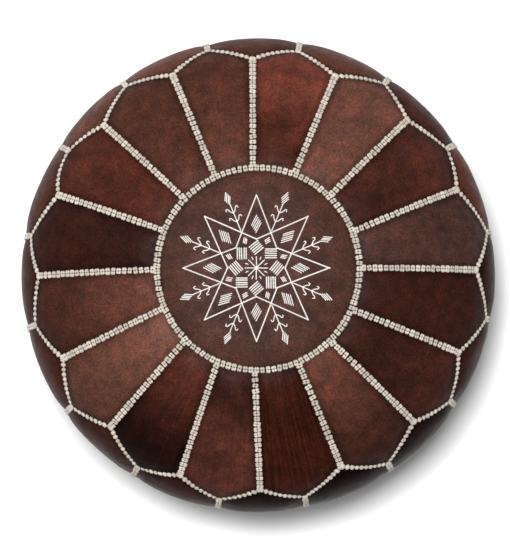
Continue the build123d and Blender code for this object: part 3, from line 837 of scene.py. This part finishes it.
class POUF_OT_base(bpy.types.Operator):
    """Cut the two halves of the base, with the window for the zip between them"""
    bl_idname = "pouf.base"
    bl_label = "Base"

    def execute(self, context):
        hide = context.scene.pouf_hide
        material = hide_finish("base", tuple(hide.base), shaded(hide.base, -0.15), 95)
        seam_radius = outline.contact_radius + CORNER_RADIUS * sind(BASE_SEAM_SLOPE)
        for name, way in (("base_half_front", -1), ("base_half_back", 1)):
            u, v = np.meshgrid(np.linspace(-1, 1, 161), np.linspace(0, 1, 81) ** 1.3, indexing="ij")
            across = u * np.sqrt(1 - v * v / 2) * seam_radius
            away = v * np.sqrt(1 - u * u / 2) * seam_radius
            end = np.clip((WINDOW_LENGTH / 2 - np.abs(across)) / (WINDOW_WIDTH / 2), 0, 1)
            edge = np.maximum(np.sqrt(1 - (1 - end) ** 2) * WINDOW_WIDTH / 2, WINDOW_END)
            away = away + edge * (1 - v)
            radius = np.hypot(across, away)
            from_edge = away - edge
            hem = HEM_DEPTH * rounded(from_edge / 2) * (1 - rounded((from_edge - HEM_WIDTH) / 4))
            height = base_height(radius)
            where = np.stack([across, way * away, height], -1) * MM
            soft = 0.5 * ripple(where, 0.05, 97) * np.clip((RECESS_RADIUS - radius) / 20, 0, 1)
            where[..., 2] -= (hem + soft) * MM * np.clip((height - 1) / 3, 0, 1)
            normal = np.zeros_like(where)
            normal[..., 2] = -1
            # distance to the base seam: the base darkens towards it with painted shade and soiling
            marks = {"seam": np.clip((seam_radius - radius) / SEAM_SHADE_AND_SOIL_REACH, 0, 1),
                     "reach": radius / seam_radius}
            piece = shell(name + "_hide", where, normal, hide.thickness, marks)
            fit(piece, [name], material)
        return {"FINISHED"}


# ---- lacing ------------------------------------------------------------------------------------------
LOBE_SIDES = 6
LOBE_RINGS = ((0, 1), (1, 0.66), (1, -0.25), (0, -0.5))     # reach and height of each ring, as shares
SHOULDER = 0.76                                             # how far a lobe draws in above its foot
LACING_SEAT = -0.4          # the stitches sit a little into the crease
TIP_CLEARANCE = 3.5         # from the edge of a petal to the first stitch of the side seam


def knot(name, lobes, slant):
    """A plaited knot: plump lobes of thread, each a low dome marked with the run of its strands."""
    top = max(lobe[-1] for lobe in lobes)
    points, faces, crest, strand = [], [], [], []
    for along, across, turn, long, wide, height in lobes:
        first = len(points)
        for reach, share in LOBE_RINGS:
            drawn = reach * (SHOULDER if share > 0 else 1)
            for j in range(LOBE_SIDES if reach else 1):
                a = 2 * math.pi * (j + 0.5) / LOBE_SIDES
                x, y = long * drawn * math.cos(a), wide * drawn * math.sin(a)
                points.append((along + x * cosd(turn) - y * sind(turn),
                               across + x * sind(turn) + y * cosd(turn), height * share))
                # height on the knot, which the thread material turns into painted shade low down
                crest.append(max(0.0, height * share / top))
                strand.append((x * cosd(slant) + y * sind(slant)) / long)
        foot = first + 1 + 2 * LOBE_SIDES
        for j in range(LOBE_SIDES):
            a, b = first + 1 + j, first + 1 + (j + 1) % LOBE_SIDES
            c, d = b + LOBE_SIDES, a + LOBE_SIDES
            faces += [(first, a, b), (a, d, c, b), (foot, c, d)]
    return new_mesh(name, points, faces, crest=crest, strand=strand)


def lacing_lines():
    """Where each run of lacing goes: its name, and its lines of points, normals and fullness."""
    share = np.linspace(0, 1, 41)
    ring = np.linspace(0, 360, 241)
    ring_run = np.full(len(ring), outline.run_at(MEDALLION_RADIUS))
    ring_line = [(*outline.points(ring, ring_run, LACING_SEAT), 1.0)]
    radial, edges, sides = [], [], []
    for k in range(PANELS):
        turned, run = seam_line(k, 0.035 + share * 0.94)
        radial.append((*outline.points(turned, run, LACING_SEAT), 1 + 0.06 * share))
        for valley_index in (k, k + 1):
            turned, radius = scallop(valley_index, k, 0.03 + share * 0.955)
            thinner = 1.0 - 0.25 * share
            edges.append((*outline.points(turned, outline.run_at(radius), LACING_SEAT), thinner))
        top = outline.run_at(at(tip_at, k)) + TIP_CLEARANCE
        run = top + (outline.base_seam_run - top) * share
        sides.append((*outline.points(np.full(len(share), at(tip_angle, k)), run, LACING_SEAT), 0.95))
    return (("medallion_braid", ring_line), ("petal_braids", radial), ("scallop_braid", edges),
            ("side_braids", sides))


class POUF_OT_lacing(bpy.types.Operator):
    """Lace the seams with plaited stitches"""
    bl_idname = "pouf.lacing"
    bl_label = "Lacing"

    def execute(self, context):
        lacing = context.scene.pouf_lacing
        cotton = thread_finish("lacing_cotton", tuple(lacing.colour), tuple(lacing.thread_shade_and_soil), 8.0)
        along, across, tall = lacing.stitch_length / 4, lacing.stitch_width / 4, lacing.stitch_height
        plaited = knot("plaited_knot", [(x * along * 0.85, y * across * 0.9, x * y * 16, along * 1.25,
                                         across * 1.25, tall) for x in (-1, 1) for y in (-1, 1)], 55)
        half, wide = lacing.pearl_pitch / 2, lacing.pearl_width / 2
        strung = knot("strung_knot", [(0, 0, 16, half * 1.15, wide, tall),
                                      (half, 0, 0, half * 0.8, wide * 0.4, tall * 0.5)], 40)
        for seed, (name, lines) in enumerate(lacing_lines(), 1):
            edge = name == "scallop_braid"
            piece = grown(path_mesh(name + "_path", lines), lacing_tree, name + "_stitches", {
                "Stitch": strung if edge else plaited, "Seed": seed, "Thread": cotton,
                "Stitch Pitch": lacing.pearl_pitch if edge else lacing.stitch_pitch})
            fit(piece, [name])
        for stitch in (plaited, strung):
            bpy.data.objects.remove(stitch)
        return {"FINISHED"}


# ---- embroidery --------------------------------------------------------------------------------------
STAR_POINTS = 8
STAR_CENTRE = (-2.0, 0.5)   # the star is sewn a little off the middle of the medallion
STAR_TIP, STAR_VERTEX = 79.4, 31.2
DIAMOND_PLACE, DIAMOND_LENGTH, DIAMOND_WIDTH = 48, 20.8, 11.6
SQUARE_PLACE, SQUARE_SIDE = 22.4, 11.4
SQUARE_RUNS = (50, 0, 38, 90, 130, 0, 40, 90)        # the way the stitches of each inner square run
BUD_PLACE, BUD_LENGTH, BUD_WIDTH = 32, 8.4, 6.2
SPOKE_FROM, SPOKE_LENGTH = 0.6, 11.4
DASH_FROM, DASH_LENGTH = 10, 2.4
STEM_FROM, STEM_TO = 44, 75
LEAF_PLACES, LEAF_LENGTH = (54.6, 65), 7.2
LEAF_CURL = ((0, 0), (0.22, 0.3), (0.5, 0.52), (0.78, 0.62), (0.92, 0.8), (0.8, 0.98), (0.58, 0.96))
FLOWER_PLACE, FLOWER_LENGTH, FLOWER_WIDTH = 82, 16, 8
FINE_PLY = 0.8                  # the thinner thread of the small motifs, as a share of the star's
THREAD_STEP = 2.2               # from one point of a laid thread to the next
TURN_DOWN = 0.35                # how far past its end a stitch turns down into the hide


def polar(radius, angle):
    return np.array([radius * cosd(angle), radius * sind(angle)])


def turned_by(points, angle, centre):
    """Flat points turned about the origin and moved to a centre."""
    c, s = cosd(angle), sind(angle)
    return [centre + np.array([p[0] * c - p[1] * s, p[0] * s + p[1] * c]) for p in points]


def satin(length, width, strokes):
    """Equal stitches side by side that fill a diamond, each from one edge to the opposite one."""
    side = np.array([length / 2, -width / 2])
    other = np.array([length / 2, width / 2])
    starts = [np.array([-length / 2, 0]) + other * (i + 0.5) / strokes for i in range(strokes)]
    return [[start, start + side] for start in starts]


def ray(angle, start, end):
    return [polar(start, angle), polar(end, angle)]


def around(angles, place, lines):
    """The same lines set out at this distance in each of these directions."""
    return [turned_by(line, a, polar(place, a)) for a in angles for line in lines]


def motifs():
    """Each motif's name and its threads, as flat lines of points."""
    turn = 360 / STAR_POINTS
    ends = [turn * k for k in range(STAR_POINTS)]
    gaps = [turn * (k + 0.5) for k in range(STAR_POINTS)]
    star = [[polar(STAR_TIP, a), polar(STAR_VERTEX, a + way * turn)] for a in ends for way in (-1, 1)]
    rows = np.linspace(-0.42, 0.42, 5) * SQUARE_SIDE
    squares = [turned_by([(-SQUARE_SIDE / 2, row), (SQUARE_SIDE / 2, row)], run, polar(SQUARE_PLACE, a))
               for run, a in zip(SQUARE_RUNS, ends) for row in rows]
    spokes = [ray(a, SPOKE_FROM, SPOKE_FROM + SPOKE_LENGTH) for a in ends]
    spokes += [ray(a, DASH_FROM, DASH_FROM + DASH_LENGTH) for a in gaps]
    curls = [[(x * LEAF_LENGTH, way * y * LEAF_LENGTH) for x, y in LEAF_CURL] for way in (-1, 1)]
    sprigs = []
    for a in gaps:
        sprigs.append(ray(a, STEM_FROM, STEM_TO))
        for place in LEAF_PLACES:
            sprigs += around([a], place, curls)
    return (("star_outline", star),
            ("star_diamonds", around(ends, DIAMOND_PLACE, satin(DIAMOND_LENGTH, DIAMOND_WIDTH, 5))),
            ("inner_squares", squares),
            ("small_diamonds", around(gaps, BUD_PLACE, satin(BUD_LENGTH, BUD_WIDTH, 3))),
            ("centre_spokes", spokes), ("sprigs", sprigs),
            ("sprig_diamonds", around(gaps, FLOWER_PLACE, satin(FLOWER_LENGTH, FLOWER_WIDTH, 4))))


def stitched_down(line, ply_radius):
    """A flat line laid on the medallion, its ends passing down into the hide."""
    line = np.array([np.asarray(p, float) for p in line]) + STAR_CENTRE
    cuts = np.concatenate([[0], np.cumsum(np.hypot(*np.diff(line, axis=0).T))])
    length = cuts[-1]
    steps = max(4, int(length / THREAD_STEP))
    where = np.concatenate([[-TURN_DOWN], np.linspace(0, length, steps + 1), [length + TURN_DOWN]])
    flat = np.stack([np.interp(where, cuts, line[:, i]) for i in (0, 1)], -1)
    for end, way in ((0, line[0] - line[1]), (-1, line[-1] - line[-2])):
        flat[end] = line[end] + way / np.hypot(*way) * TURN_DOWN
    points, normal, _ = medallion_surface(flat)
    lift = np.full(len(where), ply_radius * 1.35)
    lift[[0, -1]] = -ply_radius * 1.5
    lift[[1, -2]] = ply_radius * 0.9
    return points + normal * lift[:, None], normal, 1.0


class POUF_OT_embroidery(bpy.types.Operator):
    """Stitch the star, its fillings and the sprigs on the medallion"""
    bl_idname = "pouf.embroidery"
    bl_label = "Embroidery"

    def execute(self, context):
        work = context.scene.pouf_embroidery
        cotton = thread_finish("embroidery_cotton", tuple(work.colour), dye(190, 178, 168), 0.0)
        for seed, (name, lines) in enumerate(motifs(), 21):
            ply = work.ply_radius * (1 if name in ("star_outline", "inner_squares") else FINE_PLY)
            hand = np.random.default_rng(seed)
            strayed = [np.array(line, float) + hand.normal(0, work.stray / MM, (len(line), 2))
                       for line in lines]
            paths = [stitched_down(line, ply) for line in strayed]
            piece = grown(path_mesh(name + "_path", paths), thread_tree, name + "_threads", {
                "Ply Radius": ply, "Seed": seed, "Thread": cotton})
            fit(piece, [name])
        return {"FINISHED"}


# ---- insert ------------------------------------------------------------------------------------------
INSERT_FLOOR, INSERT_REST = 15, 3.5     # its underside over the zip, and where it rests on the base
UNDER_SHARES = (0.95, 0.88, 0.76, 0.5, 0.2)     # the rings of its underside, as shares of the last one
RESTING_SHARE = 0.87


def stuffed(name, depth, lumps, lump_size, seed):
    """A closed stuffed form, this far inside the outer face of the cover."""
    rings, spokes = 60, 96
    floor = INSERT_FLOOR + depth
    points = [(0, 0, (CROWN_HEIGHT - depth) * MM)]
    angle = np.arange(spokes) * 360 / spokes
    for run in np.linspace(2, outline.base_seam_run - 12, rings):
        where, normal = outline.points(angle, np.full(spokes, run), -depth)
        where = where - normal * (lumps * MM * np.abs(ripple(where, lump_size, seed)))[:, None]
        where[:, 2] = np.maximum(where[:, 2], 3 * MM)
        points += where.tolist()
    last = np.array(points[-spokes:])
    for share in UNDER_SHARES:
        height = INSERT_REST if share > RESTING_SHARE else floor
        points += (last * (share, share, 0) + (0, 0, height * MM)).tolist()
    points.append((0, 0, floor * MM))
    faces = [(0, 1 + j, 1 + (j + 1) % spokes) for j in range(spokes)]
    last_ring = rings + len(UNDER_SHARES) - 1
    for start in range(1, 1 + last_ring * spokes, spokes):
        for j in range(spokes):
            a, b = start + j, start + (j + 1) % spokes
            faces.append((a, a + spokes, b + spokes, b))
    start = 1 + last_ring * spokes
    faces += [(start + (j + 1) % spokes, start + j, len(points) - 1) for j in range(spokes)]
    return new_mesh(name, points, faces)


class POUF_OT_insert(bpy.types.Operator):
    """Sew the muslin bag and pack it"""
    bl_idname = "pouf.insert"
    bl_label = "Insert"

    def execute(self, context):
        bag = stuffed("insert_bag_muslin", 4.0, 1.2, 0.03, 41)
        muslin = cloth_finish("muslin", dye(214, 204, 182), dye(200, 188, 164), 900)
        fit(bag, ["insert_bag"], muslin)
        filling = stuffed("insert_filling_scraps", 7.0, 3.0, 0.02, 43)
        scraps = cloth_finish("scraps", dye(196, 190, 180), dye(150, 146, 150), 400)
        fit(filling, ["insert_filling"], scraps)
        return {"FINISHED"}


# ---- zip ---------------------------------------------------------------------------------------------
TOOTH_COUNT, TOOTH_PITCH = 58, 4
TOOTH_THICK, TOOTH_INSET = 1.8, 0.9
# along a tooth from its foot: the place, the breadth and the height, as shares
TOOTH_STATIONS = ((0.0, 0.55, 0.6), (0.12, 0.95, 1.0), (0.42, 0.95, 1.0), (0.55, 0.7, 0.8),
                  (0.8, 0.9, 0.85), (1.0, 0.5, 0.5))


def zip_tooth(length, thick, height, way):
    """One tooth: a pinched foot on the tape, a waist, and a rounded head that meets the other row."""
    corners = ((-1, -1), (1, -1), (1, 1), (-1, 1))
    points = [(x * thick / 2 * wide, way * (length - place * length), z * height / 2 * tall)
              for place, wide, tall in TOOTH_STATIONS for x, z in corners]
    faces = []
    for start in range(0, len(points) - 4, 4):
        for j in range(4):
            a, b = start + j, start + (j + 1) % 4
            faces.append((a, b, b + 4, a + 4))
    faces += [(3, 2, 1, 0), tuple(range(len(points) - 4, len(points)))]
    if way < 0:
        faces = [face[::-1] for face in faces]
    return new_mesh("zip_tooth", points, faces, smooth=False)


class POUF_OT_zip(bpy.types.Operator):
    """Finish the zip under the base"""
    bl_idname = "pouf.zip"
    bl_label = "Zip"

    def execute(self, context):
        metal = brass_finish("zip_metal")
        tape = cloth_finish("zip_cloth", dye(58, 42, 36), dye(44, 32, 28), 1500)
        # these patches carry no seam mark, so the painted shade and soiling of the seams darkens them all
        # over
        patch = hide_finish("zip_patch", dye(64, 40, 34), dye(58, 36, 30), 99)
        for material, names in ((metal, ("zip_slider", "zip_pull", "zip_top_stops", "zip_bottom_stop")),
                                (tape, ("zip_tape_front", "zip_tape_back")), (patch, ("zip_end_patches",))):
            for name in names:
                paint(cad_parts[name], material)
        for name, way in (("zip_teeth_front", -1), ("zip_teeth_back", 1)):
            low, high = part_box(name)
            tooth = zip_tooth(high[1] - low[1], TOOTH_THICK * MM, high[2] - low[2], way)
            inner = way * min(abs(low[1]), abs(high[1]))
            start = Vector((low[0] + TOOTH_INSET * MM, inner, (low[2] + high[2]) / 2))
            piece = grown(new_mesh(name + "_seat", [], smooth=False), tooth_tree, name + "_row", {
                "Tooth": tooth, "Count": TOOTH_COUNT, "Tooth Pitch": TOOTH_PITCH * MM, "Start": start,
                "Metal": metal})
            fit(piece, [name])
            bpy.data.objects.remove(tooth)
        return {"FINISHED"}


# ---- stage -------------------------------------------------------------------------------------------
FLOOR_HALF = 3.0                # metres
FLOOR_ALBEDO, SKY_STRENGTH = 0.94, 0.3
KEY_PLACE, KEY_SIZE = (-0.33, 0.33, 6.2), 1.1
SIDE_PLACE, SIDE_SIZE, SIDE_SHARE = (-2.6, 1.9, 1.5), 1.6, 0.035
LIGHT_AIM = (0, 0, 0.15)
AIM_STRAY = (-3.5, -3)          # the camera's aim from the middle of the pouf
AIM_SHARE = 0.6                 # and its level, as a share of the height


def area_light(name, power, size, place):
    light = bpy.data.lights.new(name, "AREA")
    light.energy, light.size = power, size
    lamp = bpy.data.objects.new(name, light)
    lamp.location = place
    lamp.rotation_euler = (Vector(LIGHT_AIM) - Vector(place)).to_track_quat("-Z", "Y").to_euler()
    bpy.context.scene.collection.objects.link(lamp)


class POUF_OT_stage(bpy.types.Operator):
    """Set up the floor, the lights and the camera"""
    bl_idname = "pouf.stage"
    bl_label = "Stage"

    def execute(self, context):
        stage = context.scene.pouf_stage
        low, high = cad_box
        corners = [(x * FLOOR_HALF, y * FLOOR_HALF, low[2])
                   for x, y in ((-1, -1), (1, -1), (1, 1), (-1, 1))]
        floor = new_mesh("floor", corners, [(0, 1, 2, 3)], smooth=False)
        paper = bpy.data.materials.new("floor_paper")
        paper.use_nodes = True
        shader = paper.node_tree.nodes["Principled BSDF"]
        shader.inputs["Base Color"].default_value = (FLOOR_ALBEDO, FLOOR_ALBEDO, FLOOR_ALBEDO, 1)
        shader.inputs["Roughness"].default_value = 0.9
        shader.inputs["Specular IOR Level"].default_value = 0.1
        paint(floor, paper)
        area_light("key", stage.key_power, KEY_SIZE, KEY_PLACE)
        area_light("side", stage.key_power * SIDE_SHARE, SIDE_SIZE, SIDE_PLACE)
        world = bpy.data.worlds.new("studio")
        world.use_nodes = True
        sky = world.node_tree.nodes["Background"]
        sky.inputs["Color"].default_value = (1, 1, 1, 1)
        sky.inputs["Strength"].default_value = SKY_STRENGTH
        context.scene.world = world
        context.scene.view_settings.view_transform = "Standard"
        camera = bpy.data.objects.new("camera", bpy.data.cameras.new("camera"))
        context.scene.collection.objects.link(camera)
        camera.data.lens = camera.data.sensor_width * stage.distance / stage.view_height
        x, y = ((low[i] + high[i]) / 2 + AIM_STRAY[i] * MM for i in (0, 1))
        middle = Vector((x, y, high[2] * AIM_SHARE))
        back = Vector((0, -math.cos(stage.elevation), math.sin(stage.elevation)))
        camera.location = middle + back * stage.distance
        camera.rotation_euler = (-back).to_track_quat("-Z", "Y").to_euler()
        camera.data.clip_end = 100
        context.scene.camera = camera
        return {"FINISHED"}


STEPS = (POUF_OT_stage, POUF_OT_medallion, POUF_OT_petals, POUF_OT_side_panels, POUF_OT_base,
         POUF_OT_insert, POUF_OT_lacing, POUF_OT_embroidery, POUF_OT_zip)
SETTINGS = (("pouf_hide", PoufHide), ("pouf_lacing", PoufLacing), ("pouf_embroidery", PoufEmbroidery),
            ("pouf_stage", PoufStage))


class POUF_PT_sidebar(bpy.types.Panel):
    """Lists the pouf's sizes and the steps that build it"""
    bl_idname = "POUF_PT_sidebar"
    bl_label = "Leather Pouf"
    bl_space_type = "VIEW_3D"
    bl_region_type = "UI"
    bl_category = "Pouf"

    def draw(self, context):
        for name, settings in SETTINGS:
            box = self.layout.box()
            for key in settings.__annotations__:
                box.prop(getattr(context.scene, name), key)
        for step in STEPS:
            self.layout.operator(step.bl_idname)


def register():
    for name, settings in SETTINGS:
        bpy.utils.register_class(settings)
        setattr(bpy.types.Scene, name, bpy.props.PointerProperty(type=settings))
    for step in STEPS:
        bpy.utils.register_class(step)
    bpy.utils.register_class(POUF_PT_sidebar)


def unregister():
    bpy.utils.unregister_class(POUF_PT_sidebar)
    for step in reversed(STEPS):
        bpy.utils.unregister_class(step)
    for name, settings in reversed(SETTINGS):
        delattr(bpy.types.Scene, name)
        bpy.utils.unregister_class(settings)


def main():
    register()
    for step in STEPS:
        getattr(bpy.ops.pouf, step.bl_idname.split(".")[1])()


if __name__ == "__main__":
    main()
